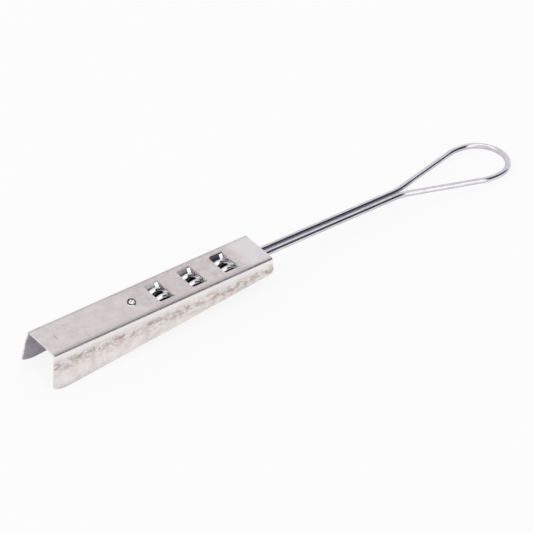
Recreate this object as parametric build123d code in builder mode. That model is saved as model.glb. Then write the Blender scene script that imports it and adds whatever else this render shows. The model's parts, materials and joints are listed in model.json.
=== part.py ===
import os
from math import acos, asin, atan2, cos, hypot, radians, sin, tan

from build123d import *

os.makedirs("parts", exist_ok=True)

# Wedge channel folded from sheet, in mm and degrees, with x running from the tall end to the bail
wedge_length = 114.6
web_width = 20.4  # outside, between the two fold corners
sheet_thickness = 0.8
fold_radius = 1.3  # outside of the fold
flange_lean = 8.5  # each flange opens outwards from square
tall_depth = 17.5  # web top to flange edge, edge line carried on to the tall end
short_depth = 7.5  # the same at the bail end
end_rake = 8.4  # the flanges reach out past the web at the tall end
toe_radius = 13.0  # rounds the flange edge up towards the tall end
toe_length = 7.4
toe_corner = 1.0
heel_corner = 2.4

# Straps lanced across the web and pushed down under the wire
strap_count = 3
strap_setback = 19.1  # middle of the last strap to the bail end
strap_pitch = 17.2
strap_length = 7.5  # along the wedge
strap_width = 13.4  # across the wedge
strap_ease = 0.17  # room between the wire and each sloping end
strap_bend = 1.1  # at mid sheet
strap_root = 0.8  # flat part left in the web at each end
window_corner = 0.9  # corners of each window towards the tall end
shear_gap = 0.06
die_roll = 0.25  # soft edge of the web along the shear line towards the bail

# Stop dimple pressed up from the web
dimple_setback = 14.3  # ahead of the first strap
dimple_diameter = 5.4  # where its foot runs out into the web
dimple_height = 1.0
dimple_foot = 1.2  # radius of the foot, at mid sheet
dimple_root = 0.4  # flat ring left around the foot

# Bail bent from one length of round wire
wire_diameter = 2.6
wire_clearance = 0.02
bail_tilt = 0.9  # the legs and neck run down from the web towards the eye
leg_spacing = 5.4  # centre to centre under the straps
leg_tail = 5.0  # straight wire past the first strap
hump_rise = 0.8  # the wire lifts this much in each window
hump_margin = 0.05
neck_spacing = 3.4
neck_drop = 0.95  # the neck runs this much lower than the legs
step_reach = 13.8  # double bend from each leg to the neck
neck_straight = 76.4
split_angle = 15.5
split_radius = 22.0
eye_droop = 2.7  # the eye hangs down from the line of the neck
shoulder_radius = 22.9
shoulder_turn = 29.3
eye_radius = 12.75  # at the wire centre

# Sizes that follow from the ones above
half_sheet = sheet_thickness / 2
wire_radius = wire_diameter / 2
taper = atan2(tall_depth - short_depth, wedge_length)
strap_first = wedge_length - strap_setback - strap_pitch * (strap_count - 1)
strap_stations = [strap_first + strap_pitch * n for n in range(strap_count)]
dimple_at = strap_first - dimple_setback
dimple_turn = 2 * atan2(dimple_height, dimple_diameter / 2)
dome_radius = dimple_diameter / 2 / sin(dimple_turn) - dimple_foot
leg_depth = sheet_thickness + wire_clearance + wire_radius  # at the leg ends
lean = radians(bail_tilt)
weave_start = strap_first - strap_length / 2 - leg_tail
strap_drops = [
    leg_depth + (x + strap_length / 2 - weave_start) * tan(lean) + wire_radius / cos(lean) + wire_clearance
    for x in strap_stations
]

# Along the bail, from the leg ends
hump_stations = [(x - weave_start) / cos(lean) for x in strap_stations]
hump_half = strap_length / 2 - hump_margin
hump_turn = 2 * atan2(hump_rise, hump_half)
hump_radius = hump_half / (2 * sin(hump_turn))
weave_length = hump_stations[-1] + hump_half
step_in = (leg_spacing - neck_spacing) / 2
step_offset = hypot(step_in, neck_drop)
step_turn = 2 * atan2(step_offset, step_reach)
step_radius = step_reach / (2 * sin(step_turn))
neck_x = weave_length + step_reach
split_x = neck_x + neck_straight

# Each strand turns outwards and down at once, so its bend lies in a leaning plane
split = radians(split_angle)
droop = radians(eye_droop)
split_turn = acos(cos(split) * cos(droop))
split_run = split_radius * sin(split_turn)
split_rise = split_radius * (1 - cos(split_turn))
split_out = sin(split) / sin(split_turn)
split_down = cos(split) * sin(droop) / sin(split_turn)
spread_x = split_x + split_run
spread_y = neck_spacing / 2 + split_rise * split_out
spread_z = -neck_drop - split_rise * split_down

# Outline of the eye, seen in its own plane from the end of the split
crown_lean = split - radians(shoulder_turn)
crown_y = eye_radius * cos(crown_lean)
shoulder_y = crown_y - shoulder_radius * (cos(crown_lean) - cos(split))
shoulder_x = (shoulder_y - spread_y) / tan(split)
crown_x = shoulder_x + shoulder_radius * (sin(split) - sin(crown_lean))
eye_reach = crown_x + eye_radius * (1 + sin(crown_lean))

# Rest on the floor: both flange toes and the tip of the eye touch it
eye_x = spread_x + eye_reach * cos(droop)
eye_z = spread_z - eye_reach * sin(droop)
tip_x = weave_start + eye_x * cos(lean) + eye_z * sin(lean)
tip_z = -leg_depth - eye_x * sin(lean) + eye_z * cos(lean)
rake = radians(end_rake)
corner_z = -tall_depth / (1 - tan(rake) * tan(taper))
corner_x = corner_z * tan(rake)
toe_x = corner_x + toe_length * cos(taper)
toe_z = corner_z + toe_length * sin(taper)
toe_centre_x = toe_x - toe_radius * sin(taper)
toe_centre_z = toe_z + toe_radius * cos(taper)
toe_along = -toe_centre_x * sin(rake) - toe_centre_z * cos(rake)
toe_drop = toe_along + (toe_along**2 - toe_centre_x**2 - toe_centre_z**2 + toe_radius**2) ** 0.5
toe_end_x = -toe_drop * sin(rake)
toe_end_z = -toe_drop * cos(rake)
span_x = tip_x - toe_centre_x
span_z = toe_centre_z - tip_z
rest_tilt = asin((toe_radius - wire_radius) / hypot(span_x, span_z)) - atan2(span_z, span_x)
rest_height = toe_radius + toe_centre_x * sin(rest_tilt) - toe_centre_z * cos(rest_tilt)
tip_reach = tip_x * cos(rest_tilt) + tip_z * sin(rest_tilt) + wire_radius
toe_reach = toe_end_x * cos(rest_tilt) + toe_end_z * sin(rest_tilt)

# The web plane has its origin on the web's outer face at the tall end
web = Plane(
    origin=(-(tip_reach + toe_reach) / 2, 0, rest_height),
    x_dir=(cos(rest_tilt), 0, -sin(rest_tilt)),
    z_dir=(sin(rest_tilt), 0, cos(rest_tilt)),
)
side = Plane(origin=web.origin, x_dir=web.x_dir, z_dir=-web.y_dir)
ends = [
    Plane(origin=web.from_local_coords((x, 0, 0)), x_dir=web.y_dir, z_dir=web.x_dir)
    for x in [station - strap_length / 2 + shear_gap for station in strap_stations]
]
tall_end = Plane(origin=web.from_local_coords((corner_x, 0, 0)), x_dir=web.y_dir, z_dir=web.x_dir)
dimple_side = Plane(origin=web.from_local_coords((dimple_at, 0, 0)), x_dir=web.x_dir, z_dir=-web.y_dir)

# The bail plane runs through both legs, with its origin between the leg ends
bail = Plane(
    origin=web.from_local_coords((weave_start, 0, -leg_depth)),
    x_dir=web.x_dir * cos(lean) - web.z_dir * sin(lean),
    z_dir=web.x_dir * sin(lean) + web.z_dir * cos(lean),
)
hands = (1, -1)
leg_sides = [
    Plane(origin=bail.from_local_coords((0, hand * leg_spacing / 2, 0)), x_dir=bail.x_dir, z_dir=-bail.y_dir)
    for hand in hands
]
step_sides = [
    Plane(
        origin=bail.from_local_coords((weave_length, hand * leg_spacing / 2, 0)),
        x_dir=bail.x_dir,
        z_dir=bail.x_dir.cross(bail.y_dir * (-hand * step_in) - bail.z_dir * neck_drop),
    )
    for hand in hands
]
split_sides = [
    Plane(
        origin=bail.from_local_coords((split_x, hand * neck_spacing / 2, -neck_drop)),
        x_dir=bail.x_dir,
        z_dir=bail.x_dir.cross(bail.y_dir * (hand * split_out) - bail.z_dir * split_down),
    )
    for hand in hands
]
eye_plane = Plane(
    origin=bail.from_local_coords((spread_x, 0, spread_z)),
    x_dir=bail.x_dir * cos(droop) - bail.z_dir * sin(droop),
    z_dir=bail.x_dir * sin(droop) + bail.z_dir * cos(droop),
)
leg_end = Plane(origin=leg_sides[0].origin, x_dir=bail.y_dir, z_dir=bail.x_dir)

with BuildPart() as wedge_channel:
    # Channel section traced at mid sheet, then run the length of the wedge
    with BuildSketch(tall_end):
        fold_y = web_width / 2 - half_sheet * tan(radians(90 - flange_lean) / 2)
        flange_y = fold_y + tall_depth * tan(radians(flange_lean))
        with BuildLine():
            FilletPolyline(
                (-flange_y, -half_sheet - tall_depth),
                (-fold_y, -half_sheet),
                (fold_y, -half_sheet),
                (flange_y, -half_sheet - tall_depth),
                radius=fold_radius - half_sheet,
            )
        trace(line_width=sheet_thickness)
    extrude(amount=wedge_length - corner_x)
    # Side outline: tapered flange edge, rounded toe and heel
    with BuildSketch(side) as outline:
        with BuildLine():
            Polyline(
                (toe_end_x, toe_end_z),
                (0, 0),
                (0, fold_radius),
                (wedge_length, fold_radius),
                (wedge_length, -short_depth),
                (toe_x, toe_z),
            )
            RadiusArc((toe_x, toe_z), (toe_end_x, toe_end_z), toe_radius)
        make_face()
        fillet(outline.vertices().sort_by_distance((toe_end_x, toe_end_z))[0], toe_corner)
        fillet(outline.vertices().sort_by_distance((wedge_length, -short_depth))[0], heel_corner)
    extrude(amount=web_width * 2, both=True, mode=Mode.INTERSECT)
    # Windows left by the lanced straps, rounded at the corners towards the tall end
    with BuildSketch(web) as windows:
        with Locations([(x, 0) for x in strap_stations]):
            Rectangle(strap_length, strap_width)
        corners = [corner for group in windows.vertices().group_by(Axis.X)[::2] for corner in group]
        fillet(corners, window_corner)
    extrude(amount=-sheet_thickness, mode=Mode.SUBTRACT)
    web_face = wedge_channel.faces().sort_by_distance(web.from_local_coords((dimple_at, 0, 0)))[0]
    shear_lines = [window.edges().filter_by(Axis.Y).sort_by(Axis.X)[-1] for window in web_face.inner_wires()]
    fillet(shear_lines, die_roll)
    # Straps, joined to the web at both ends only, each as deep as the wire and sloped to clear its side
    root_y = strap_width / 2 + strap_root
    ramp_room = strap_width / 2 - leg_spacing / 2 - strap_ease
    ramp_radius = wire_radius + half_sheet
    for end, drop in zip(ends, strap_drops):
        half_slope = drop / (ramp_room + (ramp_room**2 + drop * (drop - 2 * ramp_radius)) ** 0.5)
        ramp_y = leg_spacing / 2 + strap_ease + ramp_radius * half_slope
        with BuildSketch(end):
            with BuildLine():
                FilletPolyline(
                    (-root_y, -half_sheet),
                    (-strap_width / 2, -half_sheet),
                    (-ramp_y, -half_sheet - drop),
                    (ramp_y, -half_sheet - drop),
                    (strap_width / 2, -half_sheet),
                    (root_y, -half_sheet),
                    radius=strap_bend,
                )
            trace(line_width=sheet_thickness)
        extrude(amount=strap_length - 2 * shear_gap)
    # Stop dimple, drawn up over a hole of its own size so that it stays one sheet thick
    with BuildSketch(web):
        with Locations((dimple_at, 0)):
            Circle(dimple_diameter / 2)
    extrude(amount=-sheet_thickness, mode=Mode.SUBTRACT)
    with BuildSketch(dimple_side):
        dome_x = dome_radius * sin(dimple_turn)
        dome_z = dimple_height - half_sheet - dome_radius * (1 - cos(dimple_turn))
        with BuildLine():
            RadiusArc((0, dimple_height - half_sheet), (dome_x, dome_z), dome_radius)
            RadiusArc((dome_x, dome_z), (dimple_diameter / 2, -half_sheet), -dimple_foot)
            Line((dimple_diameter / 2, -half_sheet), (dimple_diameter / 2 + dimple_root, -half_sheet))
        trace(line_width=sheet_thickness)
    revolve(axis=Axis(dimple_side.origin, dimple_side.y_dir))

wedge_channel.part.label = "wedge_channel"

with BuildPart() as bail_wire:
    # Each leg lifts in every window and dips under the web between them
    for leg_side in leg_sides:
        with BuildLine(leg_side):
            leg_from = 0
            for station in hump_stations:
                rise_top = (station - hump_half / 2, hump_rise / 2)
                fall_top = (station + hump_half / 2, hump_rise / 2)
                Line((leg_from, 0), (station - hump_half, 0))
                RadiusArc((station - hump_half, 0), rise_top, -hump_radius)
                RadiusArc(rise_top, fall_top, hump_radius)
                RadiusArc(fall_top, (station + hump_half, 0), -hump_radius)
                leg_from = station + hump_half
    # Past the last strap the legs step down and draw together into the neck
    for step_side in step_sides:
        with BuildLine(step_side):
            RadiusArc((0, 0), (step_reach / 2, step_offset / 2), -step_radius)
            RadiusArc((step_reach / 2, step_offset / 2), (step_reach, step_offset), step_radius)
    with BuildLine(bail.offset(-neck_drop)):
        for hand in hands:
            Line((neck_x, hand * neck_spacing / 2), (split_x, hand * neck_spacing / 2))
    for split_side in split_sides:
        with BuildLine(split_side):
            RadiusArc((0, 0), (split_run, split_rise), -split_radius)
    # Spread strands, shoulders and crown of the eye
    with BuildLine(eye_plane):
        for hand in hands:
            Line((0, hand * spread_y), (shoulder_x, hand * shoulder_y))
            RadiusArc((shoulder_x, hand * shoulder_y), (crown_x, hand * crown_y), hand * shoulder_radius)
        ThreePointArc((crown_x, crown_y), (eye_reach, 0), (crown_x, -crown_y))
    with BuildSketch(leg_end):
        Circle(wire_radius)
    sweep()

bail_wire.part.label = "bail_wire"

export_step(wedge_channel.part, "parts/wedge_channel.step")
export_step(bail_wire.part, "parts/bail_wire.step")
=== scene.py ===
import json
import math

import bpy
from mathutils import Matrix, Vector


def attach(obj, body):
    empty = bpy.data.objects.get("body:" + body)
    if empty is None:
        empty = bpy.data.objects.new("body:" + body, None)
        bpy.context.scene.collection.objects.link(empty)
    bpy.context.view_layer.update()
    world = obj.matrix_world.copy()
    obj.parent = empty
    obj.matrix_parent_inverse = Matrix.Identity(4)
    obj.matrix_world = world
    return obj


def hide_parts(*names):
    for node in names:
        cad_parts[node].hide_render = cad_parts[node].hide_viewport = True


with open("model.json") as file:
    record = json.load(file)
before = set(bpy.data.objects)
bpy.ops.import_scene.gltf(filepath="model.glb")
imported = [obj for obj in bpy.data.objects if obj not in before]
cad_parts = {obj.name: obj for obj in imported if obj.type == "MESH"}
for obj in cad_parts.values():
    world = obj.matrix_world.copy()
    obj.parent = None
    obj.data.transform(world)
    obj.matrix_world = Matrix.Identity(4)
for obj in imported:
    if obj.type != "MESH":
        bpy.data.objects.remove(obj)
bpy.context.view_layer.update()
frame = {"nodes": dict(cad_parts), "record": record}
scene = bpy.context.scene
print("frame loaded:", ", ".join(sorted(frame["nodes"])))

mergeGap = 0.000002  # points of the CAD mesh nearer than this are one
flatAngle = math.radians(0.5)
smoothAngle = math.radians(38)
mountFromEnd = 0.024  # from the tall end to the mount on the web

# the web's own directions: along the wedge, across it and out of it
webMount = next(mount for mount in frame["record"]["mounts"] if mount["name"] == "web_face")
webOut = Vector(webMount["axis"]).normalized()
webAlong = Vector((webOut.z, 0, -webOut.x))
webAcross = Vector((0, 1, 0))
webAxes = (webAlong, webAcross, webOut)
webFrom = Vector(webMount["pos_m"]) - webAlong * mountFromEnd  # tall end, on the outer face


def webPlace(point):
    offset = Vector(point) - webFrom
    return [offset.dot(axis) for axis in webAxes]


def webSpot(along, across, out):
    return webFrom + webAlong * along + webAcross * across + webOut * out


def allRadians(angles):
    return [math.radians(angle) for angle in angles]


def selectOnly(piece):
    bpy.ops.object.select_all(action="DESELECT")
    piece.select_set(True)
    bpy.context.view_layer.objects.active = piece


def startEdit(piece):
    selectOnly(piece)
    bpy.ops.object.mode_set(mode="EDIT")
    bpy.ops.mesh.select_all(action="SELECT")


def endEdit():
    bpy.ops.mesh.select_all(action="DESELECT")
    bpy.ops.object.mode_set(mode="OBJECT")


def mergedCopy(nodeName, pieceName):
    selectOnly(frame["nodes"][nodeName])
    bpy.ops.object.duplicate()
    piece = bpy.context.active_object
    piece.name = pieceName
    piece.data.name = pieceName
    bpy.ops.mesh.customdata_custom_splitnormals_clear()
    startEdit(piece)
    bpy.ops.mesh.remove_doubles(threshold=mergeGap)
    endEdit()
    return piece


def settle(piece, spot, size, axes=webAxes):
    turn = Matrix(axes).transposed().to_4x4()
    piece.matrix_world = Matrix.Translation(spot) @ turn @ Matrix.Diagonal((*size, 1))
    selectOnly(piece)
    bpy.ops.object.transform_apply(location=True, rotation=True, scale=True)
    return piece


def addBlock(spot, size, axes=webAxes):
    bpy.ops.object.select_all(action="DESELECT")
    bpy.ops.mesh.primitive_cube_add(size=1)
    return settle(bpy.context.active_object, spot, size, axes)


def addBall(spot, size):
    bpy.ops.object.select_all(action="DESELECT")
    bpy.ops.mesh.primitive_uv_sphere_add(segments=32, ring_count=16, radius=1)
    return settle(bpy.context.active_object, spot, size)


def addRod(spot, size):
    bpy.ops.object.select_all(action="DESELECT")
    bpy.ops.mesh.primitive_cylinder_add(vertices=64, radius=1, depth=1)
    return settle(bpy.context.active_object, spot, size)


def cutAway(piece, cutter):
    selectOnly(piece)
    bpy.ops.object.modifier_add(type="BOOLEAN")
    piece.modifiers[0].operation = "DIFFERENCE"
    piece.modifiers[0].object = cutter
    bpy.ops.object.modifier_apply(modifier=piece.modifiers[0].name)
    selectOnly(cutter)
    bpy.ops.object.delete()


def trimBelow(piece, out):
    startEdit(piece)
    bpy.ops.mesh.bisect(plane_co=webSpot(0, 0, out), plane_no=webOut, clear_inner=True)
    bpy.ops.mesh.select_all(action="SELECT")
    bpy.ops.mesh.fill_holes(sides=0)
    endEdit()


def joinInto(piece, extras):
    selectOnly(piece)
    for extra in extras:
        extra.select_set(True)
    bpy.ops.object.join()


def addNode(tree, kind, **settings):
    node = tree.nodes.new(kind)
    for name, value in settings.items():
        setattr(node, name, value)
    return node


def feed(tree, socket, source):
    if isinstance(source, bpy.types.NodeSocket):
        tree.links.new(source, socket)
    else:
        socket.default_value = source


def mathNode(tree, operation, first, second=0.0):
    node = addNode(tree, "ShaderNodeMath", operation=operation)
    feed(tree, node.inputs[0], first)
    feed(tree, node.inputs[1], second)
    return node.outputs[0]


def timesNode(tree, first, *others):
    for other in others:
        first = mathNode(tree, "MULTIPLY", first, other)
    return first


def sumNode(tree, first, *others):
    for other in others:
        first = mathNode(tree, "ADD", first, other)
    return first


def restNode(tree, value):
    return mathNode(tree, "SUBTRACT", 1.0, value)


def rangeNode(tree, value, low, high, toLow=0.0, toHigh=1.0):
    node = addNode(tree, "ShaderNodeMapRange", interpolation_type="SMOOTHSTEP")
    for socket, source in zip(node.inputs, (value, low, high, toLow, toHigh)):
        feed(tree, socket, source)
    return node.outputs[0]


def patchMask(tree, *sides):
    fades = []
    for value, (low, lowFull, highFull, high) in sides:
        fades.append(rangeNode(tree, value, low, lowFull))
        fades.append(rangeNode(tree, value, highFull, high, 1.0, 0.0))
    return timesNode(tree, *fades)


def mixColour(tree, factor, first, second):
    node = addNode(tree, "ShaderNodeMix", data_type="RGBA")
    feed(tree, node.inputs[0], factor)
    feed(tree, node.inputs[6], first)
    feed(tree, node.inputs[7], second)
    return node.outputs[2]


def noiseNode(tree, vector, scale, detail, roughness, distortion=0.0):
    node = addNode(tree, "ShaderNodeTexNoise")
    feed(tree, node.inputs["Vector"], vector)
    feed(tree, node.inputs["Scale"], scale)
    feed(tree, node.inputs["Detail"], detail)
    feed(tree, node.inputs["Roughness"], roughness)
    feed(tree, node.inputs["Distortion"], distortion)
    return node.outputs["Fac"]


def stretchNode(tree, vector, scale):
    node = addNode(tree, "ShaderNodeMapping")
    feed(tree, node.inputs["Vector"], vector)
    feed(tree, node.inputs["Scale"], scale)
    return node.outputs["Vector"]


def splitNode(tree, vector):
    node = addNode(tree, "ShaderNodeSeparateXYZ")
    feed(tree, node.inputs[0], vector)
    return node.outputs


def dotNode(tree, vector, direction):
    node = addNode(tree, "ShaderNodeVectorMath", operation="DOT_PRODUCT")
    feed(tree, node.inputs[0], vector)
    feed(tree, node.inputs[1], direction)
    return node.outputs["Value"]


def normalNode(tree):
    return addNode(tree, "ShaderNodeNewGeometry").outputs["Normal"]


# below the outer face of the web
def depthNode(tree, coords):
    return mathNode(tree, "SUBTRACT", webFrom.dot(webOut), dotNode(tree, coords, webOut))


# minus 1 where a face looks straight at the middle plane
def outwardNode(tree, place):
    return timesNode(tree, splitNode(tree, normalNode(tree))["Y"], mathNode(tree, "SIGN", place["Y"]))


def addBump(tree, shader, height, look):
    bump = addNode(tree, "ShaderNodeBump")
    feed(tree, bump.inputs["Strength"], look["bump"])
    feed(tree, bump.inputs["Distance"], look["bumpDepth"])
    feed(tree, bump.inputs["Height"], height)
    feed(tree, shader.inputs["Normal"], bump.outputs["Normal"])


def newGroup(name, inputs, outputs):
    group = bpy.data.node_groups.new(name, "ShaderNodeTree")
    for label, kind in inputs:
        group.interface.new_socket(label, in_out="INPUT", socket_type=kind)
    for label, kind in outputs:
        group.interface.new_socket(label, in_out="OUTPUT", socket_type=kind)
    return group, addNode(group, "NodeGroupInput").outputs, addNode(group, "NodeGroupOutput").inputs


def useGroup(tree, group, **values):
    node = addNode(tree, "ShaderNodeGroup", node_tree=group)
    for label, value in values.items():
        feed(tree, node.inputs[label], value)
    return node.outputs


def newMaterial(name):
    material = bpy.data.materials.new(name)
    material.use_nodes = True
    tree = material.node_tree
    coords = addNode(tree, "ShaderNodeTexCoord").outputs["Object"]
    return material, tree, tree.nodes["Principled BSDF"], coords


def newMetal(name, look):
    material, tree, shader, coords = newMaterial(name)
    shader.inputs["Metallic"].default_value = 1.0
    finish = useGroup(tree, millFinish, Vector=coords, Broad=look["broad"], Fine=look["fine"])
    return material, tree, shader, finish, coords


# cloudy mill finish: a broad mottle, a fine grain and a streak along the rolling direction
millLook = {
    "mottle": (6.0, 0.62, 0.4),  # detail, roughness and distortion
    "grain": (3.0, 0.5),
    "streak": (2.0, 0.5),
    "streakStretch": (0.06, 1.0, 1.0),
}
millFinish, groupIn, groupOut = newGroup(
    "millFinish",
    [("Vector", "NodeSocketVector"), ("Broad", "NodeSocketFloat"), ("Fine", "NodeSocketFloat")],
    [("Mottle", "NodeSocketFloat"), ("Grain", "NodeSocketFloat"), ("Streak", "NodeSocketFloat")],
)
streakMap = stretchNode(millFinish, groupIn["Vector"], millLook["streakStretch"])
mottleNoise = noiseNode(millFinish, groupIn["Vector"], groupIn["Broad"], *millLook["mottle"])
grainNoise = noiseNode(millFinish, groupIn["Vector"], groupIn["Fine"], *millLook["grain"])
streakNoise = noiseNode(millFinish, streakMap, groupIn["Fine"], *millLook["streak"])
for label, noise in (("Mottle", mottleNoise), ("Grain", grainNoise), ("Streak", streakNoise)):
    feed(millFinish, groupOut[label], noise)

# sheet: fades give where they start and end, then the values there if not 0 and 1
# noises give scale, detail, roughness and distortion
sheetFinish = {
    "clean": (0.8, 0.755, 0.745, 1),
    "dull": (0.6, 0.555, 0.55, 1),
    "stain": (0.4, 0.3, 0.255, 1),
    "insideShade": (0.55, 0.545, 0.64, 1),
    "paleEnd": (0.86, 0.85, 0.87, 1),
    # cream of the painted highlight below the fold, also mixed into the paler flanges
    "rubbedAndHighlight": (0.9, 0.865, 0.83, 1),
    # dark grey of the specks and scratch, and of the painted shade along the folds
    "grimeAndShade": (0.36, 0.345, 0.36, 1),
    "broad": 170.0,
    "fine": 1500.0,
    "mottleRange": (0.35, 0.68),
    "mottleShare": 0.45,
    "flangeFrom": (0.0094, 0.0102),  # from the middle plane
    "flangePale": 0.45,
    # duller web round the windows, from the tall end
    "cloudNoise": (330.0, 7.0, 0.68, 0.1),
    "cloudRange": (0.36, 0.66, 0.1, 1.0),
    "cloudIn": (0.04, 0.056, 0.25, 1.0),
    "cloudOut": (0.1, 0.106, 1.0, 0.15),
    "cloudShare": 0.8,
    "paleEndFrom": (0.1, 0.107, 0.0, 0.55),  # paler web at the bail end
    "speckNoise": (620.0, 3.0, 0.6),
    "speckRange": (0.6, 0.74, 0.0, 0.4),
    # painted shade: grey line along the fold at the edge of the web
    "foldAway": (0.0078, 0.0094, 0.0, 0.45),
    "foldDepth": (0.0006, 0.0011, 1.0, 0.0),
    "foldAlong": (0.06, 0.1, 1.0, 0.7),
    # scratch across the web near the tall end
    "scratchAt": 0.0072,
    "scratchWide": (0.0, 0.0005, 1.0, 0.0),
    "scratchLong": (0.0004, 0.0033, 1.0, 0.0),
    "scratchDepth": (0.0003, 0.0006, 0.75, 0.0),
    # painted highlight: bright cream strip just below the fold
    "highlightTop": (0.0008, 0.0013),
    "highlightEnd": (0.0017, 0.0031, 1.0, 0.0),
    # scuffed band on the flanges, below the web
    "bandTop": (0.0027, 0.0052),
    "bandEnd": (0.0052, 0.011, 1.0, 0.25),
    "smudgeStretch": (0.55, 1.0, 1.0),
    "smudgeNoise": (520.0, 9.0, 0.74, 0.15),
    "smudgeRange": (0.4, 0.64),
    "scuffShare": 0.85,
    # inner faces of the flanges: painted shade, and smears of stain
    "innerFacing": (-0.5, -0.85),
    "innerShadeShare": 0.75,
    "smearNoise": (260.0, 8.0, 0.7, 0.2),
    "smearRange": (0.5, 0.66, 0.0, 0.5),
    "roughness": 0.25,
    "roughMottle": 0.07,
    "roughScuff": 0.12,
    "bump": 0.25,
    "bumpDepth": 0.00004,
    "bumpStreak": 1.5,
    "bumpMottle": 6.0,
}


def buildMillSheet():
    look = sheetFinish
    material, tree, shader, finish, coords = newMetal("millSheet", look)
    place = splitNode(tree, coords)
    depth = depthNode(tree, coords)
    along = mathNode(tree, "SUBTRACT", dotNode(tree, coords, webAlong), webFrom.dot(webAlong))
    away = mathNode(tree, "ABSOLUTE", place["Y"])
    onFlange = rangeNode(tree, away, *look["flangeFrom"])
    onWeb = restNode(tree, onFlange)
    mottle = rangeNode(tree, finish["Mottle"], *look["mottleRange"])
    colour = mixColour(tree, timesNode(tree, mottle, look["mottleShare"]), look["clean"], look["dull"])
    # the web is duller and more clouded round the windows, and paler at the bail end
    cloud = timesNode(
        tree,
        rangeNode(tree, noiseNode(tree, coords, *look["cloudNoise"]), *look["cloudRange"]),
        rangeNode(tree, along, *look["cloudIn"]),
        rangeNode(tree, along, *look["cloudOut"]),
        onWeb,
        look["cloudShare"],
    )
    colour = mixColour(tree, cloud, colour, look["dull"])
    paleEnd = timesNode(tree, rangeNode(tree, along, *look["paleEndFrom"]), onWeb)
    colour = mixColour(tree, paleEnd, colour, look["paleEnd"])
    # flanges paler all over, towards the cream of the painted highlight
    colour = mixColour(tree, timesNode(tree, onFlange, look["flangePale"]), colour, look["rubbedAndHighlight"])
    # grey marks: specks and the scratch, and a line of painted shade at each fold
    speck = rangeNode(tree, noiseNode(tree, coords, *look["speckNoise"]), *look["speckRange"])
    foldShade = timesNode(
        tree,
        rangeNode(tree, away, *look["foldAway"]),
        rangeNode(tree, depth, *look["foldDepth"]),
        rangeNode(tree, along, *look["foldAlong"]),
    )
    aside = mathNode(tree, "ABSOLUTE", mathNode(tree, "SUBTRACT", along, look["scratchAt"]))
    scratch = timesNode(
        tree,
        rangeNode(tree, aside, *look["scratchWide"]),
        rangeNode(tree, away, *look["scratchLong"]),
        rangeNode(tree, depth, *look["scratchDepth"]),
    )
    for mark in (timesNode(tree, speck, onWeb), foldShade, scratch):
        colour = mixColour(tree, mark, colour, look["grimeAndShade"])
    # painted highlight strip just below the fold, then the scuffed band that runs along each flange,
    # broken up by noise
    highlightStrip = timesNode(
        tree,
        rangeNode(tree, depth, *look["highlightTop"]),
        rangeNode(tree, depth, *look["highlightEnd"]),
        onFlange,
    )
    colour = mixColour(tree, highlightStrip, colour, look["rubbedAndHighlight"])
    smudgeMap = stretchNode(tree, coords, look["smudgeStretch"])
    scuff = timesNode(
        tree,
        rangeNode(tree, depth, *look["bandTop"]),
        rangeNode(tree, depth, *look["bandEnd"]),
        onFlange,
        rangeNode(tree, noiseNode(tree, smudgeMap, *look["smudgeNoise"]), *look["smudgeRange"]),
    )
    colour = mixColour(tree, timesNode(tree, scuff, look["scuffShare"]), colour, look["stain"])
    # painted shade: inner faces look towards the middle and are painted darker, as the channel shades
    # them
    inner = timesNode(tree, rangeNode(tree, outwardNode(tree, place), *look["innerFacing"]), onFlange)
    colour = mixColour(tree, timesNode(tree, inner, look["innerShadeShare"]), colour, look["insideShade"])
    smear = rangeNode(tree, noiseNode(tree, coords, *look["smearNoise"]), *look["smearRange"])
    colour = mixColour(tree, timesNode(tree, inner, smear), colour, look["stain"])
    feed(tree, shader.inputs["Base Color"], colour)
    rough = sumNode(
        tree,
        timesNode(tree, sumNode(tree, finish["Streak"], mottle), look["roughMottle"]),
        timesNode(tree, scuff, look["roughScuff"]),
        look["roughness"],
    )
    feed(tree, shader.inputs["Roughness"], rough)
    height = sumNode(
        tree,
        finish["Grain"],
        timesNode(tree, finish["Streak"], look["bumpStreak"]),
        timesNode(tree, finish["Mottle"], look["bumpMottle"]),
    )
    addBump(tree, shader, height, look)
    return material


# pressed metal of the straps, dimple and cut edge, and a paler copy for the facets and lobes that paints
# their highlight
pressedFinish = {
    "bright": (0.8, 0.79, 0.78, 1),
    "rubbedAndHighlight": (0.6, 0.6, 0.62, 1),
    "broad": 600.0,
    "fine": 2600.0,
    "mottleRange": (0.35, 0.7),
    "roughness": 0.08,
    "roughGrain": 0.12,
    "bump": 0.3,
    "bumpDepth": 0.00004,
    "bumpMottle": 3.0,
}
# paler copy of the pressed metal: painted highlight
highlightFinish = {
    **pressedFinish,
    "bright": (0.97, 0.965, 0.95, 1),
    "rubbedAndHighlight": (0.86, 0.85, 0.83, 1),
    "roughness": 0.19,
}
strapShadeAndWear = {
    "paintedShade": (0.1, 0.098, 0.11, 1),  # painted shade in the low middle of the straps, on top
    "shadeDepth": (0.0011, 0.0021),
    "shadeFacing": (0.1, 0.4),
    "wornAlong": (-0.066, -0.034, 0.5, 0.0),  # far strap ends, duller towards the tall end
    "wornAcross": (0.0042, 0.0046),
}


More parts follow.
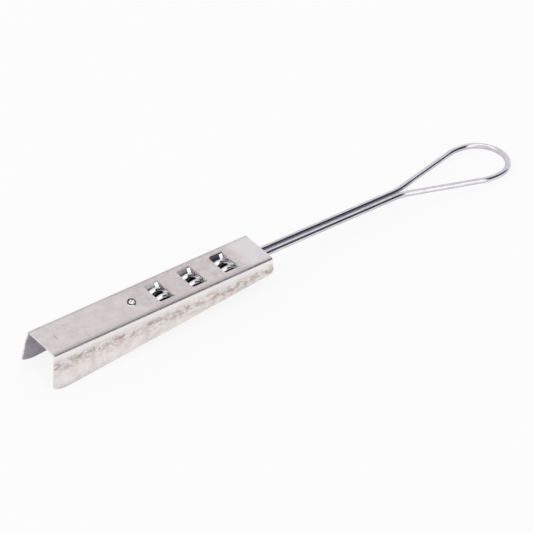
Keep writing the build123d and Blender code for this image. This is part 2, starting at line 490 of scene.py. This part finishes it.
def buildPressedSheet(name, look, shadeAndWear=None):
    material, tree, shader, finish, coords = newMetal(name, look)
    mottle = rangeNode(tree, finish["Mottle"], *look["mottleRange"])
    colour = mixColour(tree, mottle, look["bright"], look["rubbedAndHighlight"])
    rough = sumNode(tree, timesNode(tree, finish["Grain"], look["roughGrain"]), look["roughness"])
    if shadeAndWear:
        place = splitNode(tree, coords)
        # painted shade in the low middle of each strap, on faces looking up, where the wires lie
        paintedShade = timesNode(
            tree,
            rangeNode(tree, depthNode(tree, coords), *shadeAndWear["shadeDepth"]),
            rangeNode(tree, dotNode(tree, normalNode(tree), webOut), *shadeAndWear["shadeFacing"]),
        )
        colour = mixColour(tree, paintedShade, colour, shadeAndWear["paintedShade"])
        worn = timesNode(
            tree,
            rangeNode(tree, place["X"], *shadeAndWear["wornAlong"]),
            rangeNode(tree, place["Y"], *shadeAndWear["wornAcross"]),
        )
        rough = sumNode(tree, rough, worn)
    feed(tree, shader.inputs["Base Color"], colour)
    feed(tree, shader.inputs["Roughness"], rough)
    height = sumNode(tree, timesNode(tree, finish["Mottle"], look["bumpMottle"]), finish["Grain"])
    addBump(tree, shader, height, look)
    return material


# burr round the dimple, painted dark as shade, with bare patches
rimFinish = {
    "paintedShade": (0.07, 0.07, 0.085, 1),
    "bare": (0.5, 0.49, 0.49, 1),
    "broad": 700.0,
    "fine": 2600.0,
    "bareRange": (0.52, 0.7),
    "roughness": 0.2,
    "roughGrain": 0.2,
}


def buildPunchRim():
    look = rimFinish
    material, tree, shader, finish, _ = newMetal("punchRim", look)
    bare = rangeNode(tree, finish["Mottle"], *look["bareRange"])
    feed(tree, shader.inputs["Base Color"], mixColour(tree, bare, look["paintedShade"], look["bare"]))
    rough = sumNode(tree, timesNode(tree, finish["Grain"], look["roughGrain"]), look["roughness"])
    feed(tree, shader.inputs["Roughness"], rough)
    return material


wireFinish = {
    "bright": (0.76, 0.75, 0.775, 1),
    "dull": (0.64, 0.63, 0.665, 1),
    "broad": 260.0,
    "fine": 2200.0,
    "mottleRange": (0.36, 0.68),
    "between": (0.5, 0.49, 0.54, 1),  # painted shade where the strands of the neck face each other
    "betweenFacing": (-0.3, -0.7),
    "betweenReach": (0.0021, 0.003, 1.0, 0.0),
    "rubbedAndHighlight": (0.94, 0.93, 0.92, 1),  # painted highlight: legs painted brighter where they show in the straps
    "legHighlightShare": 0.4,
    "neckFrom": (-0.016, -0.012),
    "roughness": 0.09,
    "roughStreak": 0.1,
    "bump": 0.2,
    "bumpDepth": 0.00002,
}


def buildDrawnWire():
    look = wireFinish
    material, tree, shader, finish, coords = newMetal("drawnWire", look)
    place = splitNode(tree, coords)
    mottle = rangeNode(tree, finish["Mottle"], *look["mottleRange"])
    colour = mixColour(tree, mottle, look["bright"], look["dull"])
    onNeck = rangeNode(tree, place["X"], *look["neckFrom"])
    between = timesNode(
        tree,
        rangeNode(tree, outwardNode(tree, place), *look["betweenFacing"]),
        rangeNode(tree, mathNode(tree, "ABSOLUTE", place["Y"]), *look["betweenReach"]),
        onNeck,
    )
    colour = mixColour(tree, between, colour, look["between"])
    onLegs = restNode(tree, onNeck)
    # painted highlight on the legs
    colour = mixColour(tree, timesNode(tree, onLegs, look["legHighlightShare"]), colour, look["rubbedAndHighlight"])
    feed(tree, shader.inputs["Base Color"], colour)
    rough = sumNode(tree, timesNode(tree, finish["Streak"], look["roughStreak"]), look["roughness"])
    feed(tree, shader.inputs["Roughness"], rough)
    addBump(tree, shader, finish["Grain"], look)
    return material


# wedge: the folded channel with its lanced straps and stop dimple, in metres and degrees
wedgeShape = {
    "sheet": 0.0008,
    "straps": (0.0611, 0.0783, 0.0955),  # from the tall end
    "strapHalf": 0.00375,
    "windowEdge": 0.0067,  # ends of the windows, across the wedge
    "slopes": (50.2, 52.6, 54.8),  # of the strap ends
    "dimple": 0.0468,
    "dimpleRadius": 0.0031,
    # which faces are pressed metal
    "slackAlong": 0.0001,
    "slackAcross": 0.0002,
    "strapTop": -0.00002,
    "dimpleFoot": 0.0001,
    "cutReach": 0.0004,  # cut edge of the web at the tall end
    "cutFacing": -0.8,
    "cutFoot": -0.0012,
    # drawn corner of each strap end towards the bail, from mid strap
    "cornerFrom": 0.0012,
    "cornerTop": 0.0009,
    "cornerTilt": 12.0,
    "cornerSize": (0.0028, 0.0034, 0.0007),
    "roundCorner": 0.0021,  # radius of each window's far corner towards the tall end
    # torn edge of the web along each shear line
    "burrSize": (0.0003, 0.0118, 0.00055),
    "burrIn": 0.00008,
    "burrOut": -0.00042,
    "burrCuts": 15,
    "burrRagged": 0.00012,
    "burrSeed": 3,
    # burr that stands round the dimple, painted dark as shade, and four lobes on its crown
    "collarSize": (0.0017, 0.0017, 0.0027),
    "collarThick": 0.2,
    "collarTilt": 12.0,
    "collarOut": 0.0004,
    "lobeReach": 0.00085,
    "lobeOut": 0.00022,
    "lobeSize": (0.00085, 0.00085, 0.00085),
    "crownFloor": 0.00025,  # collar and lobes are cut off near this height, above the hollow
}

wedge = mergedCopy("wedge_channel", "wedgeSheet")
startEdit(wedge)
bpy.ops.mesh.select_mode(type="EDGE")
bpy.ops.mesh.dissolve_limited(angle_limit=flatAngle)
endEdit()
millSheet = buildMillSheet()
pressedSheet = buildPressedSheet("pressedSheet", pressedFinish, strapShadeAndWear)
wedge.data.materials.clear()
wedge.data.materials.append(millSheet)
wedge.data.materials.append(pressedSheet)
strapReach = wedgeShape["strapHalf"] + wedgeShape["slackAlong"]
windowReach = wedgeShape["windowEdge"] + wedgeShape["slackAcross"]
for face in wedge.data.polygons:
    along, across, out = webPlace(face.center)
    corners = [webPlace(wedge.data.vertices[number].co) for number in face.vertices]
    reach = max(abs(corner[1]) for corner in corners)
    span = min(max(abs(corner[0] - at) for corner in corners) for at in wedgeShape["straps"])
    onStrap = reach < windowReach and span < strapReach and out < wedgeShape["strapTop"]
    nearDimple = math.hypot(along - wedgeShape["dimple"], across) < wedgeShape["dimpleRadius"]
    onDimple = nearDimple and out > wedgeShape["dimpleFoot"]
    atEnd = along < wedgeShape["cutReach"] and out > wedgeShape["cutFoot"]
    onCut = atEnd and face.normal.dot(webAlong) < wedgeShape["cutFacing"]
    face.material_index = 1 if onStrap or onDimple or onCut else 0

# towards the bail the strap ends are drawn rather than cut, which leaves a facet at each corner
facets = []
tilt = math.radians(wedgeShape["cornerTilt"])
wide, long, thick = wedgeShape["cornerSize"]
for at, slope in zip(wedgeShape["straps"], allRadians(wedgeShape["slopes"])):
    down = -webAcross * math.cos(slope) - webOut * math.sin(slope)
    up = webOut * math.cos(slope) - webAcross * math.sin(slope)
    rising = webAlong * math.cos(tilt) + up * math.sin(tilt)
    facing = up * math.cos(tilt) - webAlong * math.sin(tilt)
    spot = webSpot(at + wedgeShape["cornerFrom"], wedgeShape["windowEdge"], 0)
    spot = spot + rising * (wide / 2) + down * (wedgeShape["cornerTop"] + long / 2) - facing * (thick / 2)
    facets.append(addBlock(spot, wedgeShape["cornerSize"], (rising, down, facing)))

# the far corner towards the tall end is rounded: a block less a cylinder fills it
rounds = []
sheet = wedgeShape["sheet"]
radius = wedgeShape["roundCorner"]
edge = wedgeShape["windowEdge"]
for at in wedgeShape["straps"]:
    start = at - wedgeShape["strapHalf"]
    spot = webSpot(start + radius / 2, edge - radius / 2, -sheet / 2)
    filled = addBlock(spot, (radius, radius, sheet))
    spot = webSpot(start + radius, edge - radius, -sheet / 2)
    cutAway(filled, addRod(spot, (radius, radius, sheet * 3)))
    rounds.append(filled)

# torn shear edges, a little ragged
burrs = []
for number, at in enumerate(wedgeShape["straps"]):
    spot = webSpot(at + wedgeShape["strapHalf"] - wedgeShape["burrIn"], 0, wedgeShape["burrOut"])
    burr = addBlock(spot, wedgeShape["burrSize"])
    startEdit(burr)
    bpy.ops.mesh.subdivide(number_cuts=wedgeShape["burrCuts"])
    seed = wedgeShape["burrSeed"] + number
    bpy.ops.transform.vertex_random(offset=wedgeShape["burrRagged"], uniform=1.0, normal=0.0, seed=seed)
    endEdit()
    burrs.append(burr)

# burr round the dimple, higher on the far side and painted dark as shade, and the four lobes that the
# punch left on its crown
bpy.ops.object.select_all(action="DESELECT")
bpy.ops.mesh.primitive_torus_add(
    major_segments=48, minor_segments=16, major_radius=1.0, minor_radius=wedgeShape["collarThick"]
)
tilt = math.radians(wedgeShape["collarTilt"])
collar = settle(
    bpy.context.active_object,
    webSpot(wedgeShape["dimple"], 0, wedgeShape["collarOut"]),
    wedgeShape["collarSize"],
    (
        webAlong,
        webAcross * math.cos(tilt) + webOut * math.sin(tilt),
        webOut * math.cos(tilt) - webAcross * math.sin(tilt),
    ),
)
trimBelow(collar, wedgeShape["crownFloor"])
lobes = []
reach = wedgeShape["lobeReach"]
for along, across in ((1, 0), (-1, 0), (0, 1), (0, -1)):
    spot = webSpot(wedgeShape["dimple"] + along * reach, across * reach, wedgeShape["lobeOut"])
    lobe = addBall(spot, wedgeShape["lobeSize"])
    trimBelow(lobe, wedgeShape["crownFloor"])
    lobes.append(lobe)

punchCrownHighlight = buildPressedSheet("punchCrownHighlight", highlightFinish)
coats = (
    # facets and lobes take the paler copy: painted highlight
    (facets + lobes, punchCrownHighlight),
    (rounds, millSheet),
    (burrs, pressedSheet),
    ([collar], buildPunchRim()),
)
for pieces, material in coats:
    for piece in pieces:
        piece.data.materials.clear()
        piece.data.materials.append(material)
joinInto(wedge, facets + rounds + burrs + [collar] + lobes)
selectOnly(wedge)
bpy.ops.object.shade_smooth_by_angle(angle=smoothAngle)
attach(wedge, "root")
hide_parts("wedge_channel")
print("wedge done:", len(wedge.data.polygons), "faces")

# bail: one bent wire
bail = mergedCopy("bail_wire", "bailRod")
bail.data.materials.clear()
bail.data.materials.append(buildDrawnWire())
selectOnly(bail)
bpy.ops.object.shade_smooth_by_angle(angle=smoothAngle)
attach(bail, "root")
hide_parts("bail_wire")
print("bail done:", len(bail.data.polygons), "faces")

# floor: nearly white to the camera, with a faint shadow, and white in reflections
floorLook = {
    "size": 6.0,
    "paper": (0.86, 0.86, 0.86, 1),
    "roughness": 0.9,
    "white": 0.88,  # the rest of what the camera sees is lit paper, with the shadow
    # shaded paper that the metal mirrors round the clamp
    "nearX": (-0.14, -0.125, 0.125, 0.14),
    "nearY": (-0.018, -0.013, 0.02, 0.035),
    "nearShare": 0.8,
    # shaded paper that is seen through the windows
    "underX": (-0.085, -0.075, -0.016, -0.01),
    "underY": (-0.002, 0.001, 0.016, 0.02),
}
bpy.ops.object.select_all(action="DESELECT")
bpy.ops.mesh.primitive_plane_add(size=floorLook["size"], location=(0, 0, 0))
floor = bpy.context.active_object
floor.name = "paperFloor"
paper, tree, shader, coords = newMaterial("paperFloor")
shader.inputs["Base Color"].default_value = floorLook["paper"]
shader.inputs["Roughness"].default_value = floorLook["roughness"]
glow = addNode(tree, "ShaderNodeEmission")
rays = addNode(tree, "ShaderNodeLightPath").outputs
place = splitNode(tree, coords)
near = patchMask(tree, (place["X"], floorLook["nearX"]), (place["Y"], floorLook["nearY"]))
under = patchMask(tree, (place["X"], floorLook["underX"]), (place["Y"], floorLook["underY"]))
near = timesNode(tree, near, floorLook["nearShare"])
mirrored = timesNode(tree, rays["Is Glossy Ray"], restNode(tree, near))
seen = mathNode(tree, "MAXIMUM", rays["Is Camera Ray"], rays["Is Transmission Ray"])
seen = timesNode(tree, seen, floorLook["white"], restNode(tree, under))
blend = addNode(tree, "ShaderNodeMixShader")
feed(tree, blend.inputs[0], mathNode(tree, "MAXIMUM", seen, mirrored))
feed(tree, blend.inputs[1], shader.outputs[0])
feed(tree, blend.inputs[2], glow.outputs[0])
feed(tree, tree.nodes["Material Output"].inputs["Surface"], blend.outputs[0])
floor.data.materials.append(paper)
print("floor done")

# room: pale all round, with a bright wall and a dark doorway beside it in front of the wedge
roomLook = {
    "seen": (1, 1, 1, 1),  # by the camera
    "pale": (0.87, 0.85, 0.865, 1),
    "wall": (1.4, 1.39, 1.37, 1),
    "ceiling": (1.3, 1.3, 1.3, 1),
    "dark": (0.058, 0.058, 0.1, 1),
    # fades in and out round the vertical and above the floor, in degrees
    "ceilingRise": (66.0, 74.0),
    "wallTurn": (-104.0, -96.0, -40.0, -30.0),
    "wallRise": (-2.0, 2.0, 60.0, 72.0),
    "darkTurn": (-84.0, -78.0, -16.0, -4.0),
    "darkRise": (-1.0, 3.0, 57.0, 70.0),
    "doorEdge": (0.98, -0.135, -0.05),  # the wall ends along a slanted line
    "doorFade": (0.36, 0.44),
}
room = bpy.data.worlds.new("studioRoom")
scene.world = room
room.use_nodes = True
tree = room.node_tree
sight = addNode(tree, "ShaderNodeTexCoord").outputs["Generated"]
sightSplit = splitNode(tree, sight)
turn = mathNode(tree, "ARCTAN2", sightSplit["Y"], sightSplit["X"])
rise = mathNode(tree, "ARCSINE", sightSplit["Z"])
ceiling = rangeNode(tree, rise, *allRadians(roomLook["ceilingRise"]))
surround = mixColour(tree, ceiling, roomLook["pale"], roomLook["ceiling"])
wallSides = (turn, allRadians(roomLook["wallTurn"])), (rise, allRadians(roomLook["wallRise"]))
surround = mixColour(tree, patchMask(tree, *wallSides), surround, roomLook["wall"])
darkSides = (turn, allRadians(roomLook["darkTurn"])), (rise, allRadians(roomLook["darkRise"]))
beyond = rangeNode(tree, dotNode(tree, sight, roomLook["doorEdge"]), *roomLook["doorFade"])
doorway = timesNode(tree, patchMask(tree, *darkSides), beyond)
surround = mixColour(tree, doorway, surround, roomLook["dark"])
cameraRay = addNode(tree, "ShaderNodeLightPath").outputs["Is Camera Ray"]
surround = mixColour(tree, cameraRay, surround, roomLook["seen"])
feed(tree, tree.nodes["Background"].inputs["Color"], surround)
print("room done")

# one soft lamp, aimed at the origin
lampLook = {"place": (-0.5, 0.3, 1.2), "size": 0.5, "power": 0.6}
lampData = bpy.data.lights.new("softboxTop", "AREA")
lampData.size = lampLook["size"]
lampData.energy = lampLook["power"]
lamp = bpy.data.objects.new("softboxTop", lampData)
scene.collection.objects.link(lamp)
lamp.location = lampLook["place"]
lamp.rotation_euler = (-Vector(lampLook["place"])).to_track_quat("-Z", "Y").to_euler()
print("lamps done")

# camera at the photograph's angle
view = {"place": (-0.87811, -1.20549, 1.20134), "turn": (51.0895, 0.8351, -36.5507), "angle": 7.0}
cameraData = bpy.data.cameras.new("camera")
cameraData.angle = math.radians(view["angle"])
camera = bpy.data.objects.new("camera", cameraData)
scene.collection.objects.link(camera)
camera.location = view["place"]
camera.rotation_euler = allRadians(view["turn"])
scene.camera = camera
scene.view_settings.view_transform = "Standard"
print("camera done")
